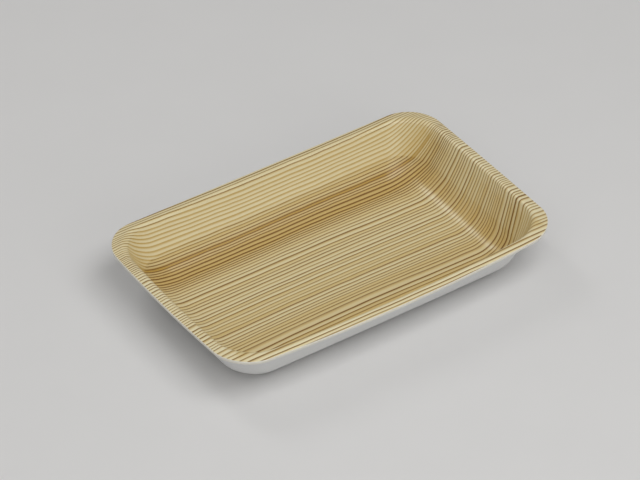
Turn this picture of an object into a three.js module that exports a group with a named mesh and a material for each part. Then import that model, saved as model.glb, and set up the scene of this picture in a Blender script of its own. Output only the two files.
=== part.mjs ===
// Thermoformed foam tray: one sheet of foam with a printed film on its upper side.
// The sheet is drawn down into a flat floor, a wide cove, steep walls, a rounded
// shoulder and a narrow flange that ends in a cut edge.
// Millimetres, +Z up. The origin is the middle of the underside, which rests on Z = 0.

import * as THREE from 'three';

// Overall length and width over the rim, and the height of the shoulder before it dips
const RIM_LENGTH = 230;
const RIM_WIDTH = 150;
const HEIGHT = 35;

// How far the rim swells outwards and dips at the middle of each side
const SIDE_BOW = 2.9;
const SIDE_SAG = 2.9;
const END_BOW = 1.7;
const END_SAG = 1.4;

// The sheet and its bends, with angles in degrees from the vertical and the level
const SHEET = 2;
const COVE_RADIUS = 18;
const WALL_DRAFT = 19;
const SHOULDER_RADIUS = 3;
const FLANGE_WIDTH = 4.5;
const FLANGE_DROOP = 6;

// Corners in plan, at the cut edge and round the flat floor
const RIM_CORNER_RADIUS = 22;
const FLOOR_CORNER_RADIUS = 12;

// Facets along the section, and round a corner and along a side in plan
const COVE_STEPS = 8;
const WALL_STEPS = 3;
const SHOULDER_STEPS = 5;
const CORNER_STEPS = 12;
const SIDE_STEPS = 10;

const draft = THREE.MathUtils.degToRad(WALL_DRAFT);
const droop = THREE.MathUtils.degToRad(FLANGE_DROOP);

// The section runs outwards along X and up along Y. X = 0 is where the outer face of
// the wall, drawn on downwards, would meet the ground. The film side and the foam side
// of a bend share its centre.
const cove = wallNeighbour(SHEET + COVE_RADIUS, -SHEET - COVE_RADIUS);
const shoulder = wallNeighbour(HEIGHT - SHOULDER_RADIUS, SHOULDER_RADIUS - SHEET);
const edge = shoulder.x + FLANGE_WIDTH;

// Point of the section at a height, a distance square outwards from the wall's outer face
function wallNeighbour(height, distance) {
  return new THREE.Vector2(height * Math.tan(draft) + distance / Math.cos(draft), height);
}

// Height of the flange's upper face at a distance along the section
function flangeHeight(x) {
  const aboveShoulder = shoulder.y + SHOULDER_RADIUS / Math.cos(droop);
  return aboveShoulder - (x - shoulder.x) * Math.tan(droop);
}

// Round stretch of the section about a centre, the short way from one angle to the other
function bend(centre, radius, from, to) {
  return new THREE.EllipseCurve(centre.x, centre.y, radius, radius, from, to, to < from);
}

// Straight stretch from a point, or from the end of a curve, to a point or a curve's start
function straight(from, to) {
  const start = from instanceof THREE.Curve ? from.getPoint(1) : from;
  const end = to instanceof THREE.Curve ? to.getPoint(0) : to;
  return new THREE.LineCurve(start, end);
}

// Section of the sheet: the film side out from the floor to the cut edge, and the foam
// side back to the underside
function sectionPoints() {
  const down = -Math.PI / 2;
  const wallOutside = -draft;
  const wallInside = Math.PI - draft;
  const flangeTop = Math.PI / 2 - droop;

  const filmCove = bend(cove, COVE_RADIUS, down, wallOutside);
  const filmShoulder = bend(shoulder, SHOULDER_RADIUS, wallInside, flangeTop);
  const edgeTop = new THREE.Vector2(edge, flangeHeight(edge));
  const edgeFoot = new THREE.Vector2(edge, edgeTop.y - SHEET / Math.cos(droop));
  const foamShoulder = bend(shoulder, SHOULDER_RADIUS - SHEET, flangeTop, wallInside);
  const foamCove = bend(cove, COVE_RADIUS + SHEET, wallOutside, down);

  const stretches = [
    [filmCove, COVE_STEPS],
    [straight(filmCove, filmShoulder), WALL_STEPS],
    [filmShoulder, SHOULDER_STEPS],
    [straight(filmShoulder, edgeTop), 1],
    [straight(edgeTop, edgeFoot), 1],
    [straight(edgeFoot, foamShoulder), 1],
    [foamShoulder, SHOULDER_STEPS],
    [straight(foamShoulder, foamCove), WALL_STEPS],
    [foamCove, COVE_STEPS],
  ];
  const start = filmCove.getPoint(0);
  return [start, ...stretches.flatMap(([curve, steps]) => curve.getPoints(steps).slice(1))];
}

// Rounded rectangle in plan, anticlockwise, with the same count of points at every size
function planOutline(halfLength, halfWidth, radius) {
  const x = halfLength - radius;
  const y = halfWidth - radius;
  const quarter = Math.PI / 2;
  const outline = new THREE.Path();
  outline.absarc(x, y, radius, 0, quarter, false);
  outline.absarc(-x, y, radius, quarter, 2 * quarter, false);
  outline.absarc(-x, -y, radius, 2 * quarter, 3 * quarter, false);
  outline.absarc(x, -y, radius, 3 * quarter, 4 * quarter, false);
  outline.closePath();
  return outline.curves.flatMap((curve) => {
    return curve.getPoints(curve.isLineCurve ? SIDE_STEPS : CORNER_STEPS).slice(1);
  });
}

// The corner radius opens quickly over the cove and levels off towards the rim
function cornerRadius(x) {
  const share = (x - cove.x) / (edge - cove.x);
  const opening = 1 - (1 - share) ** 2;
  return THREE.MathUtils.lerp(FLOOR_CORNER_RADIUS, RIM_CORNER_RADIUS, opening);
}

// One ring of the tray: the plan outline at a point of the section, bowed and sagged
function ring(point) {
  const halfLength = RIM_LENGTH / 2 - END_BOW - edge + point.x;
  const halfWidth = RIM_WIDTH / 2 - SIDE_BOW - edge + point.x;
  const rise = THREE.MathUtils.smoothstep(point.y, SHEET, shoulder.y);
  return planOutline(halfLength, halfWidth, cornerRadius(point.x)).map((p) => {
    const u = p.x / halfLength;
    const v = p.y / halfWidth;
    const alongSide = (1 - u * u) * rise;
    const alongEnd = (1 - v * v) * rise;
    return new THREE.Vector3(
      p.x + END_BOW * alongEnd * u,
      p.y + SIDE_BOW * alongSide * v,
      point.y - SIDE_SAG * alongSide * v ** 4 - END_SAG * alongEnd * u ** 4,
    );
  });
}

// Skin through all rings, closed by the flat floor and the flat underside
function trayGeometry() {
  const rings = sectionPoints().map(ring);
  const around = rings[0].length;
  const index = [];
  for (let i = 0; i < rings.length - 1; i += 1) {
    for (let j = 0; j < around; j += 1) {
      const a = i * around + j;
      const b = i * around + ((j + 1) % around);
      index.push(a, b + around, b);
      index.push(a, a + around, b + around);
    }
  }
  const floor = rings[0].map((p) => new THREE.Vector2(p.x, p.y));
  const underside = (rings.length - 1) * around;
  for (const [a, b, c] of THREE.ShapeUtils.triangulateShape(floor, [])) {
    index.push(a, b, c);
    index.push(underside + a, underside + c, underside + b);
  }
  const geometry = new THREE.BufferGeometry().setFromPoints(rings.flat());
  geometry.setIndex(index);
  geometry.computeVertexNormals();
  return geometry;
}

const printedFoam = new THREE.MeshStandardMaterial({
  color: 0xd9c394,
  roughness: 0.45,
  metalness: 0,
});

const tray = new THREE.Mesh(trayGeometry(), printedFoam);
tray.name = 'tray';

const model = new THREE.Group();
model.add(tray);

export default model;
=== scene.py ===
"""A formed foam tray: one sheet of white foam with a straight-grained wood film on its upper side."""

import math

import bmesh
import bpy
from mathutils import Matrix, Vector


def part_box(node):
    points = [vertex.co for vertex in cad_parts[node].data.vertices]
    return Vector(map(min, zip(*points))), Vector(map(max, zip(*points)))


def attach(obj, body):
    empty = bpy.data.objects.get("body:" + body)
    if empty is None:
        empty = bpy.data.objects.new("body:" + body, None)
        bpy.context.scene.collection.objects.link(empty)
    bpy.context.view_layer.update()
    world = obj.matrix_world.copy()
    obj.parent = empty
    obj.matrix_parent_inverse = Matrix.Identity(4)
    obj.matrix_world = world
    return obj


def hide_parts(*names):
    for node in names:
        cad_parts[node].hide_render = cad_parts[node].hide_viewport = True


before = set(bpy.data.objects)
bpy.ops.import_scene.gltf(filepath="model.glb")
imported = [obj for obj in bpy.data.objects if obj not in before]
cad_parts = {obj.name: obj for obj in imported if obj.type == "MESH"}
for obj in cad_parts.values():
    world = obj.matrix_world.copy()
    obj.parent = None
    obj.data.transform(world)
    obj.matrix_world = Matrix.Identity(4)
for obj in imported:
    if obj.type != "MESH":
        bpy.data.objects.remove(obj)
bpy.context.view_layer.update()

bl_info = {
    "name": "Foam Tray",
    "version": (1, 0, 0),
    "blender": (4, 5, 0),
    "location": "View3D > Sidebar > Tray",
    "description": "Forms a foam tray from a printed sheet and sets it on a pale table",
    "category": "Add Mesh",
}

MM = 0.001
LOWEST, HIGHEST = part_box("tray")

# Vertices of the formed sheet along its section and in plan
COVE_STEPS = 18
WALL_STEPS = 14
SHOULDER_STEPS = 12
FLANGE_STEPS = 4
CORNER_STEPS = 28
SIDE_STEPS = 36

# How far the sheet is drawn out over each stretch of its section
COVE_DRAW = 1.2
WALL_DRAW = 1.75
SHOULDER_DRAW = 1.35
FLANGE_DRAW = 1.0

# Material slots of the tray's mesh
FILM_SLOT = 0
FOAM_SLOT = 1
EDGE_SLOT = 2

# Edges sharper than the first angle are rounded, and those below the second look smooth
ROUNDED_ANGLE = math.radians(55)
SMOOTH_ANGLE = math.radians(50)

# Zones of the print, and of painted shade and light laid into it, in mm on the flat sheet. A zone has four
# places: where it starts, is full, starts to fade and is gone. Those from the streak are measured towards
# the back.
# The dark side of the streak lies in the back cove: partly dark print, partly painted shade.
DARK_PRINT_AND_COVE_SHADE_FROM_STREAK = (-19.0, -9.0, 0.0, 4.0)
PALE_SIDE_FROM_STREAK = (3.0, 9.0)
STREAK_EDGE = (0.4, 1.6)
FAST_GROWN_RAMP = 12.0
FAST_GROWN_FADE = (40.0, 48.0)
SPARSE_REACH = 80.0
ENDS = (80.0, 98.0)
# Painted shade in the coves at the foot of the end walls.
END_COVE_SHADE = (83.0, 86.5, 89.0, 99.0)
END_COVE_SHADE_BREADTH = (33.0, 45.0)
# The rim's paleness is painted light, strongest at the front.
END_RIM = (103.0, 107.0)
SIDE_RIM = (62.0, 66.0)
BACK_RIM = (50.0, 60.0)
SIDE_WALLS = (38.0, 48.0)

# Draw at which the film turns paler, partly from thinner ink and partly as painted light on the drawn long
# walls, and its ink turns to gold, partly as a painted sheen
PALER_DRAW = (1.35, 1.75)
GOLDEN_DRAW = (1.1, 1.8)

# Where years crowd, from the streak towards the back: start, end and more years to the mm
CROWDED_YEARS = ((-14.0, 0.0, 0.16), (0.0, 18.0, 0.12))

# Lamps that point at the tray: name, place, breadth, height and power in watts
LAMP_AIM = (0, 0, 0.02)
LAMPS = (
    ("high_softbox", (0.1, -0.9, 1.7), 1.4, 1.0, 13.6),
    ("front_softbox", (-0.1, -1.7, 0.8), 1.0, 0.8, 3.5),
    ("left_softbox", (-1.0, -0.8, 1.4), 1.2, 1.0, 3.6),
    ("back_softbox", (-0.25, 1.15, 1.25), 0.32, 0.7, 2.5),
)
TABLE_BREADTH = 12


class TraySizes(bpy.types.PropertyGroup):
    """Sizes of the formed sheet"""

    length: bpy.props.FloatProperty(
        name="Length",
        description="Length over the rim",
        unit="LENGTH",
        default=HIGHEST[0] - LOWEST[0],
    )
    width: bpy.props.FloatProperty(
        name="Width",
        description="Width over the rim",
        unit="LENGTH",
        default=HIGHEST[1] - LOWEST[1],
    )
    height: bpy.props.FloatProperty(
        name="Height",
        description="Height of the shoulder before it dips",
        unit="LENGTH",
        default=35 * MM,
    )
    sheet: bpy.props.FloatProperty(
        name="Sheet",
        description="Thickness of the foam sheet",
        unit="LENGTH",
        default=2 * MM,
    )
    cove: bpy.props.FloatProperty(
        name="Cove",
        description="Radius between floor and wall on the film side",
        unit="LENGTH",
        default=18 * MM,
    )
    draft: bpy.props.FloatProperty(
        name="Draft",
        description="Lean of the walls from upright",
        subtype="ANGLE",
        default=math.radians(19),
    )
    shoulder: bpy.props.FloatProperty(
        name="Shoulder",
        description="Radius between wall and flange",
        unit="LENGTH",
        default=3 * MM,
    )
    flange: bpy.props.FloatProperty(
        name="Flange",
        description="Width of the flange outside the shoulder",
        unit="LENGTH",
        default=4.5 * MM,
    )
    droop: bpy.props.FloatProperty(
        name="Droop",
        description="Fall of the flange towards its edge",
        subtype="ANGLE",
        default=math.radians(6),
    )
    rim_corner: bpy.props.FloatProperty(
        name="Rim corner",
        description="Corner radius of the cut edge",
        unit="LENGTH",
        default=22 * MM,
    )
    floor_corner: bpy.props.FloatProperty(
        name="Floor corner",
        description="Corner radius of the flat floor",
        unit="LENGTH",
        default=12 * MM,
    )
    side_bow: bpy.props.FloatProperty(
        name="Side bow",
        description="Swell of the long sides",
        unit="LENGTH",
        default=2.9 * MM,
    )
    side_sag: bpy.props.FloatProperty(
        name="Side sag",
        description="Dip of the long sides",
        unit="LENGTH",
        default=2.9 * MM,
    )
    end_bow: bpy.props.FloatProperty(
        name="End bow",
        description="Swell of the short ends",
        unit="LENGTH",
        default=1.7 * MM,
    )
    end_sag: bpy.props.FloatProperty(
        name="End sag",
        description="Dip of the short ends",
        unit="LENGTH",
        default=1.4 * MM,
    )
    edge_rounding: bpy.props.FloatProperty(
        name="Edge rounding",
        description="Soft corner of the cut edge",
        unit="LENGTH",
        default=0.3 * MM,
    )


class FilmLook(bpy.types.PropertyGroup):
    """Printed film: a straight-grained softwood"""

    # Pale is also the painted light on the rim and, in part, on the drawn long walls.
    pale: bpy.props.FloatVectorProperty(
        name="Pale",
        description="Film drawn thin over the foam",
        subtype="COLOR",
        default=(0.900, 0.830, 0.570),
    )
    cream: bpy.props.FloatVectorProperty(
        name="Cream",
        description="Palest early wood",
        subtype="COLOR",
        default=(0.800, 0.710, 0.445),
    )
    straw: bpy.props.FloatVectorProperty(
        name="Straw",
        description="Body of the wood",
        subtype="COLOR",
        default=(0.720, 0.575, 0.280),
    )
    # Honey also carries the painted shade of the back cove and of the end walls' coves.
    honey: bpy.props.FloatVectorProperty(
        name="Honey",
        description="Warm bands",
        subtype="COLOR",
        default=(0.590, 0.385, 0.095),
    )
    # Gold lines are partly a painted sheen on the drawn long walls.
    gold: bpy.props.FloatVectorProperty(
        name="Gold",
        description="Dark line where the film is drawn thin",
        subtype="COLOR",
        default=(0.560, 0.360, 0.070),
    )
    late_wood: bpy.props.FloatVectorProperty(
        name="Late wood",
        description="Dark line of each year's growth",
        subtype="COLOR",
        default=(0.185, 0.080, 0.008),
    )
    line_pitch: bpy.props.FloatProperty(
        name="Line pitch",
        description="Mean distance between grain lines, in mm",
        default=2.2,
    )
    wide_pitch: bpy.props.FloatProperty(
        name="Wide pitch",
        description="Distance between the lines of the fast-grown side, in mm",
        default=2.9,
    )
    wide_from: bpy.props.FloatProperty(
        name="Wide from",
        description="Place across the sheet where the wide lines start, in mm",
        default=-24.0,
    )
    streak: bpy.props.FloatProperty(
        name="Streak",
        description="Place across the sheet of the brown streak, in mm",
        default=46.5,
    )
    drift: bpy.props.FloatProperty(
        name="Drift",
        description="Slow wander of the grain, in mm",
        default=5.0,
    )
    waver: bpy.props.FloatProperty(
        name="Waver",
        description="Quick wander of the grain, in mm",
        default=0.9,
    )
    roughness: bpy.props.FloatProperty(
        name="Roughness",
        description="Satin of the film",
        subtype="FACTOR",
        default=0.25,
    )


class FoamLook(bpy.types.PropertyGroup):
    """Bare polystyrene foam"""

    skin: bpy.props.FloatVectorProperty(
        name="Skin",
        description="Closed skin of the sheet's underside",
        subtype="COLOR",
        default=(0.750, 0.750, 0.740),
    )
    cells: bpy.props.FloatVectorProperty(
        name="Cells",
        description="Open cells of the cut edge",
        subtype="COLOR",
        default=(0.870, 0.835, 0.740),
    )
    cell_size: bpy.props.FloatProperty(
        name="Cell size",
        description="Breadth of a foam cell, in mm",
        default=0.55,
    )


class StageLook(bpy.types.PropertyGroup):
    """Table, room light and camera"""

    table: bpy.props.FloatVectorProperty(
        name="Table",
        description="Colour of the table",
        subtype="COLOR",
        default=(0.77, 0.765, 0.76),
    )
    table_gap: bpy.props.FloatProperty(
        name="Table gap",
        description="Gap below the tray, so that the faces don't meet",
        unit="LENGTH",
        default=0.05 * MM,
    )
    room: bpy.props.FloatVectorProperty(
        name="Room",
        description="Colour of the room's light",
        subtype="COLOR",
        default=(1.0, 0.99, 0.97),
    )
    room_strength: bpy.props.FloatProperty(
        name="Room strength",
        description="Level of the room's light",
        default=0.31,
    )
    azimuth: bpy.props.FloatProperty(
        name="Azimuth",
        description="Turn of the camera about the tray",
        subtype="ANGLE",
        default=math.radians(-34.53),
    )
    elevation: bpy.props.FloatProperty(
        name="Elevation",
        description="Height angle of the camera",
        subtype="ANGLE",
        default=math.radians(38.83),
    )
    distance: bpy.props.FloatProperty(
        name="Distance",
        description="From the camera to its aim",
        unit="LENGTH",
        default=2.245,
    )
    lens: bpy.props.FloatProperty(
        name="Lens",
        description="Focal length, in mm",
        default=216.8,
    )
    aim_right: bpy.props.FloatProperty(
        name="Aim right",
        description="Aim to the right of the origin",
        unit="LENGTH",
        default=-6.1 * MM,
    )
    aim_up: bpy.props.FloatProperty(
        name="Aim up",
        description="Aim above the origin in the picture",
        unit="LENGTH",
        default=21.85 * MM,
    )


# Section of the sheet


def beside_wall(sizes, height, distance):
    """A point at a height, a distance square outwards from the wall's outer face."""
    return Vector((height * math.tan(sizes.draft) + distance / math.cos(sizes.draft), height))


def section_centres(sizes):
    """Centres of the cove and of the shoulder, and the place of the cut edge."""
    cove = beside_wall(sizes, sizes.sheet + sizes.cove, -sizes.sheet - sizes.cove)
    shoulder = beside_wall(sizes, sizes.height - sizes.shoulder, sizes.shoulder - sizes.sheet)
    return cove, shoulder, shoulder.x + sizes.flange


def bend(centre, radius, start, end, steps):
    """Points of a round stretch, after its first one."""
    points = []
    for step in range(1, steps + 1):
        angle = start + (end - start) * step / steps
        points.append(centre + radius * Vector((math.cos(angle), math.sin(angle))))
    return points


def film_section(sizes):
    """The film side from the floor's edge to the cut edge, as (point, draw) for each vertex."""
    cove, shoulder, edge = section_centres(sizes)
    up = math.pi / 2
    start = cove - Vector((0, sizes.cove))
    coved = bend(cove, sizes.cove, -up, -sizes.draft, COVE_STEPS)
    rounded = bend(shoulder, sizes.shoulder, math.pi - sizes.draft, up - sizes.droop, SHOULDER_STEPS)
    wall_foot = coved[-1]
    wall_top = shoulder + sizes.shoulder * Vector((-math.cos(sizes.draft), math.sin(sizes.draft)))
    wall = [wall_foot.lerp(wall_top, step / WALL_STEPS) for step in range(1, WALL_STEPS + 1)]
    root = rounded[-1]
    tip = Vector((edge, root.y - (edge - root.x) * math.tan(sizes.droop)))
    flange = [root.lerp(tip, step / FLANGE_STEPS) for step in range(1, FLANGE_STEPS + 1)]
    stretches = (
        ([start], COVE_DRAW),
        (coved, COVE_DRAW),
        (wall, WALL_DRAW),
        (rounded, SHOULDER_DRAW),
        (flange, FLANGE_DRAW),
    )
    return [(point, draw) for points, draw in stretches for point in points]


def sheet_offsets(section):
    """How far inside the cut edge each vertex of the section lay before the sheet was drawn."""
    offsets = [0.0]
    for (outer, draw), (inner, _) in zip(reversed(section[1:]), reversed(section[:-1])):
        offsets.append(offsets[-1] + (outer - inner).length / draw)
    return list(reversed(offsets))


# Plan of the tray


def plan_outline(half_length, half_width, radius):
    """Rounded rectangle, anticlockwise from the right end, with a fixed count of points."""
    x, y = half_length - radius, half_width - radius
    centres = [Vector(place) for place in ((x, y), (-x, y), (-x, -y), (x, -y))]
    points = []
    for quarter, centre in enumerate(centres):
        for step in range(CORNER_STEPS + 1):
            angle = math.pi / 2 * (quarter + step / CORNER_STEPS)
            points.append(centre + radius * Vector((math.cos(angle), math.sin(angle))))
        corner_end = points[-1]
        side_end = corner_end - centre + centres[(quarter + 1) % 4]
        points += [corner_end.lerp(side_end, step / SIDE_STEPS) for step in range(1, SIDE_STEPS)]
    return points


def corner_radius(sizes, x, cove_x, edge):
    """The corner radius opens quickly over the cove and levels off towards the rim."""
    share = (x - cove_x) / (edge - cove_x)
    return sizes.floor_corner + (sizes.rim_corner - sizes.floor_corner) * (1 - (1 - share) ** 2)


def smooth_rise(height, low, high):
    """0 at the low height and below, 1 at the high one and above, and smooth between."""
    share = min(max((height - low) / (high - low), 0), 1)
    return share * share * (3 - 2 * share)


def half_sizes(sizes, inset):
    """Half the length and width of the plan outline, some way inside the cut edge."""
    half_length = sizes.length / 2 - sizes.end_bow - inset
    half_width = sizes.width / 2 - sizes.side_bow - inset
    return half_length, half_width


def tray_ring(sizes, point):
    """One ring of the formed tray: the plan outline at a point of the section, bowed and sagged."""
    cove, shoulder, edge = section_centres(sizes)
    half_length, half_width = half_sizes(sizes, edge - point.x)
    rise = smooth_rise(point.y, sizes.sheet, shoulder.y)
    radius = corner_radius(sizes, point.x, cove.x, edge)
    ring = []
    for place in plan_outline(half_length, half_width, radius):
        u, v = place.x / half_length, place.y / half_width
        along_side, along_end = (1 - u * u) * rise, (1 - v * v) * rise
        x = place.x + sizes.end_bow * along_end * u
        y = place.y + sizes.side_bow * along_side * v
        z = point.y - sizes.side_sag * along_side * v**4 - sizes.end_sag * along_end * u**4
        ring.append(Vector((x, y, z)))
    return ring


def sheet_ring(sizes, point, offset, draw):
    """The same ring on the flat printed sheet, before it was drawn, with its draw as third value."""
    edge = section_centres(sizes)[2]
    half_length, half_width = half_sizes(sizes, edge - point.x)
    flat_length, flat_width = half_sizes(sizes, offset)
    scale = Vector((flat_length / half_length, flat_width / half_width, 0))
    drawn = Vector((0, 0, draw * MM))
    return [place * scale + drawn for place in tray_ring(sizes, point)]


# Forming the sheet, as an edit of a plane


def select_open_edges():
    """In edit mode, select the open edges alone."""
    bpy.ops.mesh.select_mode(type="EDGE")
    bpy.ops.mesh.select_all(action="DESELECT")
    bpy.ops.mesh.select_non_manifold(
        extend=False,
        use_wire=False,
        use_boundary=True,
        use_multi_face=False,
        use_non_contiguous=False,
        use_verts=False,
    )


def place_ring(mesh, layers, ring, flat_ring):
    """Move the selected ring of vertices to its places, and note its places on the flat sheet."""
    number, print_place = layers
    for vertex in mesh.verts:
        if vertex.select:
            vertex.co = ring[vertex[number]]
            vertex[print_place] = flat_ring[vertex[number]]


def flat_floor(sizes, section, offsets):
    """A plane cut to the outline of the flat floor, with its vertices numbered round the outline."""
    start, draw = section[0]
    ring = tray_ring(sizes, start)
    bpy.ops.object.select_all(action="DESELECT")
    bpy.ops.mesh.primitive_circle_add(vertices=len(ring), radius=sizes.width / 2, fill_type="NGON")
    tray = bpy.context.object
    tray.name = tray.data.name = "formed_tray"
    bpy.ops.object.mode_set(mode="EDIT")
    bpy.ops.mesh.select_all(action="SELECT")
    mesh = bmesh.from_edit_mesh(tray.data)
    layers = mesh.verts.layers.int.new("round"), mesh.verts.layers.float_vector.new("print")
    mesh.verts.ensure_lookup_table()
    anticlockwise = sorted(mesh.verts, key=lambda v: math.atan2(v.co.y, v.co.x) % math.tau)
    for count, vertex in enumerate(anticlockwise):
        vertex[layers[0]] = count
    place_ring(mesh, layers, ring, sheet_ring(sizes, start, offsets[0], draw))
    mesh.normal_update()
    for face in mesh.faces:
        if face.normal.z < 0:
            face.normal_flip()
    bmesh.update_edit_mesh(tray.data)
    return tray


def draw_walls(tray, sizes, section, offsets):
    """Extrude the floor's edge up the cove and the wall, over the shoulder and along the flange."""
    for (point, draw), offset in zip(section[1:], offsets[1:]):
        select_open_edges()
        bpy.ops.mesh.extrude_edges_move()
        mesh = bmesh.from_edit_mesh(tray.data)
        layers = mesh.verts.layers.int["round"], mesh.verts.layers.float_vector["print"]
        place_ring(mesh, layers, tray_ring(sizes, point), sheet_ring(sizes, point, offset, draw))
        bmesh.update_edit_mesh(tray.data)


def apply_modifier(thing, name, kind, **settings):
    """Add a modifier with its settings, and apply it."""
    modifier = thing.modifiers.new(name, kind)
    for key, value in settings.items():
        setattr(modifier, key, value)
    bpy.ops.object.modifier_apply(modifier=name)


def thicken(tray, sizes):
    """Give the sheet its foam below the film, with a softly rounded cut edge."""
    apply_modifier(
        tray,
        "Foam",
        "SOLIDIFY",
        thickness=sizes.sheet,
        offset=-1,
        use_even_offset=True,
        use_quality_normals=True,
        material_offset=FOAM_SLOT,
        material_offset_rim=EDGE_SLOT,
    )
    apply_modifier(
        tray,
        "Cut edge",
        "BEVEL",
        width=sizes.edge_rounding,
        segments=3,
        limit_method="ANGLE",
        angle_limit=ROUNDED_ANGLE,
        material=EDGE_SLOT,
    )


# Shader maths


class Wire:
    """A socket of a material's nodes. Python arithmetic on it adds Math nodes."""

    def __init__(self, tree, socket):
        self.tree = tree
        self.socket = socket

    def node(self, kind, settings=None, sockets=None, output=0):
        """Add any node: its settings first, then the values or wires of its sockets."""
        made = self.tree.nodes.new(kind)
        for key, value in (settings or {}).items():
            setattr(made, key, value)
        for key, value in (sockets or {}).items():
            if isinstance(value, Wire):
                self.tree.links.new(value.socket, made.inputs[key])
            else:
                made.inputs[key].default_value = value
        return Wire(self.tree, made.outputs[output])

    def math(self, operation, *values):
        """Add a Math node."""
        return self.node("ShaderNodeMath", {"operation": operation}, dict(enumerate(values)))

    def __add__(self, other):
        return self.math("ADD", self, other)

    def __radd__(self, other):
        return self.math("ADD", other, self)

    def __sub__(self, other):
        return self.math("SUBTRACT", self, other)

    def __rsub__(self, other):
        return self.math("SUBTRACT", other, self)

    def __mul__(self, other):
        return self.math("MULTIPLY", self, other)

    def __rmul__(self, other):
        return self.math("MULTIPLY", other, self)

    def __truediv__(self, other):
        return self.math("DIVIDE", self, other)

    def __rtruediv__(self, other):
        return self.math("DIVIDE", other, self)

    def absolute(self):
        """The value without its sign."""
        return self.math("ABSOLUTE", self)

    def floor(self):
        """The whole number at or below the value."""
        return self.math("FLOOR", self)

    def at_least(self, other):
        """The greater of the two."""
        return self.math("MAXIMUM", self, other)

    def at_most(self, other):
        """The lesser of the two."""
        return self.math("MINIMUM", self, other)


def new_material(name):
    """An empty material with its shader, and a wire to start from."""
    material = bpy.data.materials.new(name)
    material.use_nodes = True
    shader = material.node_tree.nodes["Principled BSDF"]
    return material, shader, Wire(material.node_tree, shader.outputs[0])


def plug(wire, shader, name):
    """Link a wire to a socket of the shader."""
    wire.tree.links.new(wire.socket, shader.inputs[name])


def print_places(start):
    """Places on the flat sheet in mm, along and across the grain, and how far it was drawn."""
    place = start.node("ShaderNodeAttribute", {"attribute_name": "print"}, output="Vector")
    return [start.node("ShaderNodeSeparateXYZ", sockets={0: place}, output=axis) / MM for axis in range(3)]


def solid_places(start):
    """Places in the object, in mm."""
    place = start.node("ShaderNodeTexCoord", output="Object")
    return place.node(
        "ShaderNodeVectorMath",
        {"operation": "SCALE"},
        {"Vector": place, "Scale": 1 / MM},
        output="Vector",
    )


def noise(place, scale, **sockets):
    """Noise from 0 to 1, whose scale is in patches to the unit."""
    named = {name.capitalize(): value for name, value in sockets.items()}
    return place.node("ShaderNodeTexNoise", sockets={"Vector": place, "Scale": scale, **named}, output=0)


def patches(along, across, length, breadth, detail=2.0, seed=0.0):
    """Noise from 0 to 1 in patches of a length and a breadth in mm."""
    place = along.node("ShaderNodeCombineXYZ", sockets={0: along / length, 1: across / breadth, 2: seed})
    return noise(place, 1.0, detail=detail, roughness=0.5)


def relief_normal(height, strength, **settings):
    """Normal of a surface with a relief whose height is in mm."""
    return height.node(
        "ShaderNodeBump",
        settings,
        {"Strength": strength, "Distance": MM, "Height": height},
        output="Normal",
    )


def ease(value, low, high):
    """0 below low, 1 above high and smooth between."""
    return value.node(
        "ShaderNodeMapRange",
        {"interpolation_type": "SMOOTHSTEP"},
        {"Value": value, "From Min": low, "From Max": high, "To Min": 0.0, "To Max": 1.0},
        output=0,
    )


def within(value, start, full, fading, gone):
    """1 inside a zone, 0 outside it and smooth at its edges."""
    return ease(value, start, full) * (1 - ease(value, fading, gone))


def climb(value, low, high):
    """How far the value has climbed above low, and no further than high."""
    return (value - low).at_least(0.0).at_most(high - low)


def blend(first, second, share):
    """Mix of two colours."""
    wires = [item for item in (first, second, share) if isinstance(item, Wire)]
    colours = [item if isinstance(item, Wire) else (*item, 1.0) for item in (first, second)]
    return wires[0].node(
        "ShaderNodeMix",
        {"data_type": "RGBA"},
        {0: share, 6: colours[0], 7: colours[1]},
        output=2,
    )


# Printed film


def grain_places(along, straight, look):
    """Places across the grain in mm, where the grain wanders slowly and quickly."""
    slow = patches(along, straight, 150.0, 70.0, detail=1.0, seed=1.3) - 0.5
    quick = patches(along, straight, 26.0, 9.0, seed=5.1) - 0.5
    return straight + slow * look.drift + quick * look.waver


def growth_rings(along, across, look):
    """Dark line of each year's growth, the warm wood before it, and the year's number."""
    tempo = patches(along, across, 900.0, 11.0, detail=1.5, seed=3.7)
    years = across / look.line_pitch + (tempo - 0.5) * 2.5
    sparse = climb(-1 * across, -look.wide_from, SPARSE_REACH)
    years = years + sparse * (1 / look.line_pitch - 1 / look.wide_pitch)
    for start, end, more in CROWDED_YEARS:
        years = years + climb(across, look.streak + start, look.streak + end) * more
    year = years.floor()
    season = years - year
    rise = ease(season, 0.46, 0.84)
    fall = 1 - ease(season, 0.88, 1.0)
    warm = ease(season, 0.28, 0.80) * fall
    return rise * rise * fall, warm, year


def random_for(year, seed):
    """A random number from 0 to 1 for each year."""
    return year.node("ShaderNodeTexWhiteNoise", {"noise_dimensions": "1D"}, {"W": year + seed}, output=0)


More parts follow.
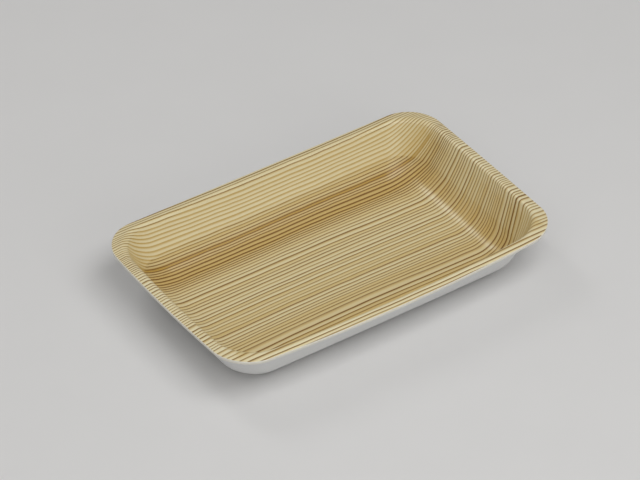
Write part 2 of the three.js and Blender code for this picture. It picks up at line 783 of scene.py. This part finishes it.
class PrintZones:
    """Masks from 0 to 1 of the print's zones, and of the places where the film was drawn. Some carry
    painted shade, in part, in the back cove and at the foot of the end walls, and painted light on the rim
    and, in part, on the drawn long walls.
    """

    def __init__(self, along, straight, across, draw, look):
        lengthwise = along.absolute()
        aside = straight.absolute()
        from_streak = across - look.streak
        forwards = -1 * across
        wide_from = -look.wide_from
        self.ends = ease(lengthwise, *ENDS)
        # Back cove below the streak: partly dark print, partly painted shade, weaker on the end walls.
        self.dark_print_and_cove_shade = within(from_streak, *DARK_PRINT_AND_COVE_SHADE_FROM_STREAK) * (1 - 0.6 * self.ends)
        self.pale_side = ease(from_streak, *PALE_SIDE_FROM_STREAK)
        broken = 0.5 + patches(along, across, 60.0, 1.2, seed=4.4)
        self.streak = (1 - ease(from_streak.absolute(), *STREAK_EDGE)) * broken
        self.fast_grown = within(forwards, wide_from, wide_from + FAST_GROWN_RAMP, *FAST_GROWN_FADE)
        # Painted shade in the coves at the foot of the end walls.
        self.end_cove_shade = within(lengthwise, *END_COVE_SHADE) * (1 - ease(aside, *END_COVE_SHADE_BREADTH))
        # Paler where drawn: partly thinner ink, partly painted light on the lit long walls, so weaker on
        # the end walls.
        self.thin_ink_and_painted_light = ease(draw, *PALER_DRAW) * (1 - self.dark_print_and_cove_shade) * (1 - 0.7 * self.ends)
        # Painted light on the rim, stronger at the front than at the back.
        rim = ease(lengthwise, *END_RIM).at_least(ease(aside, *SIDE_RIM))
        self.rim = rim * (0.62 - 0.45 * ease(across, *BACK_RIM))
        # Gold lines on the drawn long walls: partly thin ink, partly a painted sheen.
        self.golden_ink_and_sheen = ease(draw, *GOLDEN_DRAW) * ease(aside, *SIDE_WALLS)


def wood_body(along, across, warm, year, zones, look):
    """Colour of the wood between the dark lines. It also carries painted shade in the coves and painted
    light on the rim and, in part, on the drawn long walls.
    """
    broad = patches(along, across, 700.0, 11.0, seed=6.6)
    warmth = ease(0.6 * broad + 0.4 * random_for(year, 17.0), 0.30, 0.78)
    body = blend(look.cream, look.straw, warmth)
    body = blend(body, look.honey, ease(broad, 0.55, 0.80) * 0.4)
    body = blend(body, look.cream, zones.pale_side * 0.6)
    # Honey and late wood over the back cove, partly dark print and partly painted shade, and over the
    # printed streak.
    body = blend(body, look.honey, zones.dark_print_and_cove_shade * 0.62 + zones.streak * 0.5)
    body = blend(body, look.late_wood, zones.dark_print_and_cove_shade * 0.02 + zones.streak * 0.16)
    # Painted shade at the foot of the end walls.
    body = blend(body, look.honey, zones.end_cove_shade * 0.5)
    body = blend(body, look.honey, zones.fast_grown * (0.42 - 0.25 * zones.ends))
    # Paler where drawn: partly thinner ink, partly painted light.
    body = blend(body, look.pale, zones.thin_ink_and_painted_light * 0.42)
    # Painted light on the rim.
    body = blend(body, look.pale, zones.rim)
    return blend(body, look.honey, warm * (0.62 + 0.15 * zones.fast_grown))


def line_strength(along, across, line, warm, year, zones):
    """How strongly each dark line prints. A year has its own strength, which fades in places."""
    own = 0.68 + 0.48 * random_for(year, 0.0)
    fading = 0.75 + 0.5 * patches(along, across, 55.0, 1.6, seed=8.2)
    # Lines print darker in the back cove's painted shade and paler under the painted light of the drawn
    # walls.
    zoned = 1 + 1.5 * zones.dark_print_and_cove_shade + 0.25 * zones.fast_grown - 0.38 * zones.thin_ink_and_painted_light
    return line * own * fading * zoned + warm * zones.dark_print_and_cove_shade * 0.42


def film_material(look):
    """Wood print under a satin film, over foam whose cells show through a little."""
    material, shader, start = new_material("wood_grain_film")
    along, straight, draw = print_places(start)
    across = grain_places(along, straight, look)
    zones = PrintZones(along, straight, across, draw, look)
    line, warm, year = growth_rings(along, across, look)
    line = line_strength(along, across, line, warm, year, zones)

    body = wood_body(along, across, warm, year, zones, look)
    # Lines turn to gold on the drawn long walls, partly as a painted sheen.
    ink = blend(look.late_wood, look.gold, zones.golden_ink_and_sheen * 0.75)
    colour = blend(body, ink, line.at_most(0.95))
    fibres = patches(along, across, 14.0, 0.22, detail=3.0, seed=2.4)
    colour = blend(colour, look.honey, ((fibres - 0.45) * 0.5).at_least(0.0))
    flecks = ease(patches(along, across, 3.2, 0.20, seed=9.9), 0.66, 0.80)
    colour = blend(colour, look.late_wood, flecks * 0.24)
    plug(colour, shader, "Base Color")

    pebble = noise(solid_places(start), 0.9, detail=2.0, roughness=0.6)
    plug(look.roughness + 0.10 * (pebble - 0.5) + 0.08 * line, shader, "Roughness")
    relief = pebble * 0.05 + fibres * 0.018 - line * 0.03
    plug(relief_normal(relief, 0.55), shader, "Normal")
    shader.inputs["Specular IOR Level"].default_value = 0.4
    return material


# Bare foam


def foam_cells(place, size):
    """Distance to the nearest cell wall of the foam, 0 at the wall."""
    return place.node(
        "ShaderNodeTexVoronoi",
        {"feature": "DISTANCE_TO_EDGE", "voronoi_dimensions": "3D"},
        {"Vector": place, "Scale": 1 / size, "Randomness": 1.0},
        output=0,
    )


def skin_material(look):
    """Closed skin of the foam: white and matt, with shallow cells and a faint cloudiness."""
    material, shader, start = new_material("foam_skin")
    place = solid_places(start)
    cells = ease(foam_cells(place, look.cell_size * 1.6), 0.0, 0.16)
    cloud = noise(place, 0.06, detail=3.0)
    grey = tuple(channel * 0.86 for channel in look.skin)
    shade = blend(grey, look.skin, 0.45 + 0.35 * cells + 0.35 * (cloud - 0.5))
    plug(shade, shader, "Base Color")
    plug(0.50 + 0.16 * cloud - 0.05 * cells, shader, "Roughness")
    plug(relief_normal(cells * 0.022 + cloud * 0.10, 0.6), shader, "Normal")
    return material


def edge_material(look):
    """Cut edge of the foam: small open cells."""
    material, shader, start = new_material("foam_cut")
    place = solid_places(start)
    cells = ease(foam_cells(place, look.cell_size), 0.02, 0.22)
    shadow = tuple(channel * 0.72 for channel in look.cells)
    plug(blend(look.cells, shadow, cells * 0.55), shader, "Base Color")
    plug(0.62 + 0.12 * cells, shader, "Roughness")
    plug(relief_normal(cells * 0.09, 0.7, invert=True), shader, "Normal")
    return material


# Stage


def table_material(look):
    """Pale matt table with the faintest mottle."""
    material, shader, start = new_material("pale_table")
    mottle = noise(solid_places(start), 0.02, detail=2.0)
    soft = tuple(channel * 0.97 for channel in look.table)
    plug(blend(look.table, soft, mottle), shader, "Base Color")
    shader.inputs["Roughness"].default_value = 0.75
    shader.inputs["Specular IOR Level"].default_value = 0.2
    return material


def lay_table(look):
    """A wide plane just below the tray."""
    bpy.ops.object.select_all(action="DESELECT")
    bpy.ops.mesh.primitive_plane_add(size=TABLE_BREADTH)
    table = bpy.context.object
    table.name = "table"
    table.location.z = -look.table_gap
    table.data.materials.append(table_material(look))


def soft_lamp(name, place, breadth, height, power):
    """A large rectangular lamp that points at the tray."""
    light = bpy.data.lights.new(name, "AREA")
    light.shape = "RECTANGLE"
    light.size, light.size_y = breadth, height
    light.energy = power
    lamp = bpy.data.objects.new(name, light)
    bpy.context.collection.objects.link(lamp)
    lamp.location = place
    lamp.rotation_euler = (Vector(LAMP_AIM) - Vector(place)).to_track_quat("-Z", "Y").to_euler()


def light_room(scene, look):
    """Even, faintly warm light from all round."""
    world = bpy.data.worlds.new("room")
    world.use_nodes = True
    background = world.node_tree.nodes["Background"]
    background.inputs["Color"].default_value = (*look.room, 1.0)
    background.inputs["Strength"].default_value = look.room_strength
    scene.world = world


def camera_axes(azimuth, elevation):
    """The camera's right, up and back directions."""
    level = math.cos(elevation)
    back = Vector((math.sin(azimuth) * level, -math.cos(azimuth) * level, math.sin(elevation)))
    right = Vector((math.cos(azimuth), math.sin(azimuth), 0))
    return right, back.cross(right), back


def place_camera(look):
    """A long lens at the photo's viewing angle."""
    right, up, back = camera_axes(look.azimuth, look.elevation)
    data = bpy.data.cameras.new("camera")
    data.lens = look.lens
    data.clip_start, data.clip_end = 0.05, 50
    camera = bpy.data.objects.new("camera", data)
    bpy.context.collection.objects.link(camera)
    place = look.aim_right * right + look.aim_up * up + look.distance * back
    turn = Matrix((right, up, back)).transposed()
    camera.matrix_world = Matrix.Translation(place) @ turn.to_4x4()
    bpy.context.scene.camera = camera


# Operators, panel and registration


class TRAY_OT_form(bpy.types.Operator):
    """Form the printed foam sheet into the tray"""

    bl_idname = "tray.form"
    bl_label = "Form the Tray"
    bl_options = {"REGISTER", "UNDO"}

    def execute(self, context):
        scene = context.scene
        sizes = scene.tray_sizes
        section = film_section(sizes)
        offsets = sheet_offsets(section)
        tray = flat_floor(sizes, section, offsets)
        draw_walls(tray, sizes, section, offsets)
        bpy.ops.object.mode_set(mode="OBJECT")
        tray.data.materials.append(film_material(scene.film_look))
        tray.data.materials.append(skin_material(scene.foam_look))
        tray.data.materials.append(edge_material(scene.foam_look))
        drawn_faces = len(tray.data.polygons)
        thicken(tray, sizes)
        bpy.ops.object.shade_smooth_by_angle(angle=SMOOTH_ANGLE)
        if drawn_faces < 4 * (CORNER_STEPS + SIDE_STEPS) * (len(section) - 1):
            raise RuntimeError("the tray's walls were not drawn")
        if len(tray.data.polygons) < 2 * drawn_faces:
            raise RuntimeError("the tray's sheet has no thickness")
        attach(tray, "root")
        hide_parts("tray")
        return {"FINISHED"}


class TRAY_OT_stage(bpy.types.Operator):
    """Set the table, the lamps and the camera"""

    bl_idname = "tray.stage"
    bl_label = "Set the Stage"
    bl_options = {"REGISTER", "UNDO"}

    def execute(self, context):
        scene = context.scene
        look = scene.stage_look
        lay_table(look)
        for name, place, breadth, height, power in LAMPS:
            soft_lamp(name, place, breadth, height, power)
        light_room(scene, look)
        scene.view_settings.view_transform = "Standard"
        place_camera(look)
        if scene.camera is None:
            raise RuntimeError("the stage has no camera")
        return {"FINISHED"}


class TRAY_PT_panel(bpy.types.Panel):
    """Tray panel in the 3D view's sidebar"""

    bl_label = "Foam Tray"
    bl_space_type = "VIEW_3D"
    bl_region_type = "UI"
    bl_category = "Tray"

    def draw(self, context):
        layout = self.layout
        scene = context.scene
        for group in (scene.tray_sizes, scene.film_look, scene.foam_look, scene.stage_look):
            column = layout.column(align=True)
            for key in type(group).__annotations__:
                column.prop(group, key)
        layout.operator("tray.form")
        layout.operator("tray.stage")


CLASSES = (TraySizes, FilmLook, FoamLook, StageLook, TRAY_OT_form, TRAY_OT_stage, TRAY_PT_panel)


def register():
    """Add the classes, and their settings to the scene."""
    for cls in CLASSES:
        bpy.utils.register_class(cls)
    bpy.types.Scene.tray_sizes = bpy.props.PointerProperty(type=TraySizes)
    bpy.types.Scene.film_look = bpy.props.PointerProperty(type=FilmLook)
    bpy.types.Scene.foam_look = bpy.props.PointerProperty(type=FoamLook)
    bpy.types.Scene.stage_look = bpy.props.PointerProperty(type=StageLook)


def unregister():
    """Take the settings and the classes away again."""
    del bpy.types.Scene.stage_look
    del bpy.types.Scene.foam_look
    del bpy.types.Scene.film_look
    del bpy.types.Scene.tray_sizes
    for cls in reversed(CLASSES):
        bpy.utils.unregister_class(cls)


def main():
    """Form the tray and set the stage."""
    register()
    bpy.ops.tray.form()
    bpy.ops.tray.stage()


if __name__ == "__main__":
    main()
